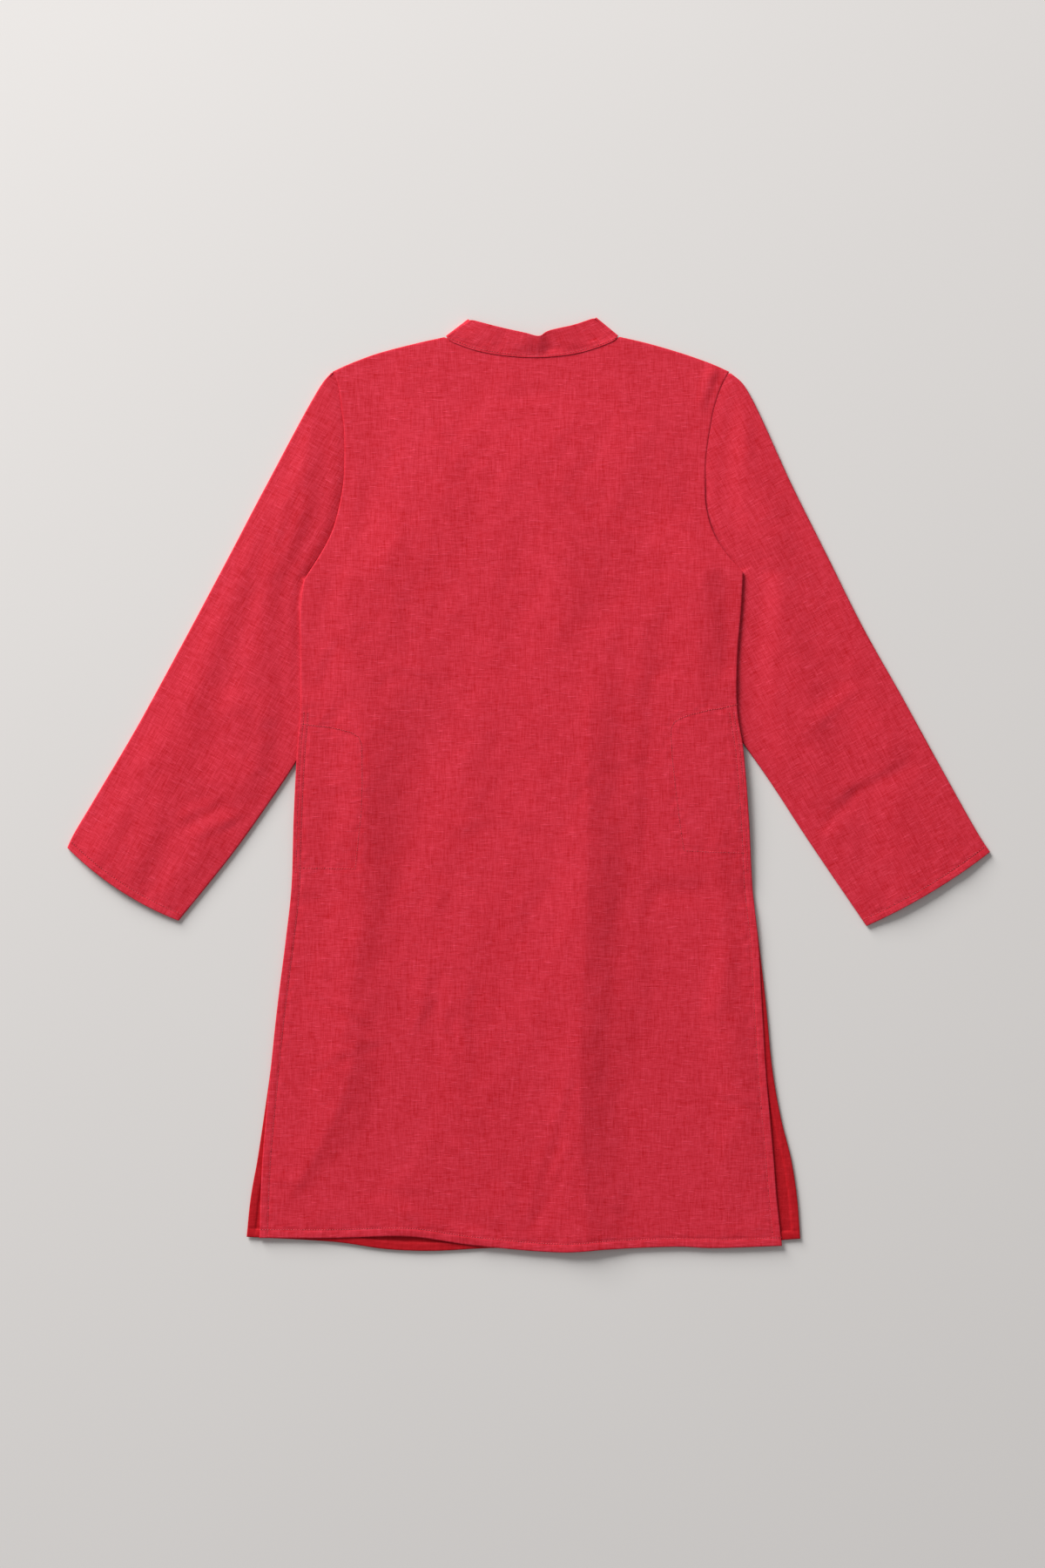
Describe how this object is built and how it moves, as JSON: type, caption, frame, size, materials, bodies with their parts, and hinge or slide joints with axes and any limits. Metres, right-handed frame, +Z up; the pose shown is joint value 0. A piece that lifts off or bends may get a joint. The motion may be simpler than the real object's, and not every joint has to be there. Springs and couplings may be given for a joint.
{
  "type": "kurta laid flat",
  "caption": "Child's long-sleeved kurta laid flat with its back up: stand-up collar, side slits, side pockets and a half-length front placket.",
  "frame": {"origin": "middle of the laid-out garment's footprint, on the surface that it lies on", "axes": "+Z up, away from the surface; +Y towards the collar; +X towards the sleeve on the right when seen from above with the collar at the top"},
  "size_m": [0.7526, 0.7618, 0.0074],
  "materials": {
    "linen": "plain-weave linen, piece-dyed red",
    "button": "dyed to match the cloth"
  },
  "bodies": {
    "root": {"front": "linen", "back": "linen", "sleeve_left": "linen", "sleeve_right": "linen", "pocket_left": "linen", "pocket_right": "linen", "collar": "linen", "placket": "linen", "button_1": "button", "button_2": "button", "button_3": "button"}
  },
  "joints": []
}
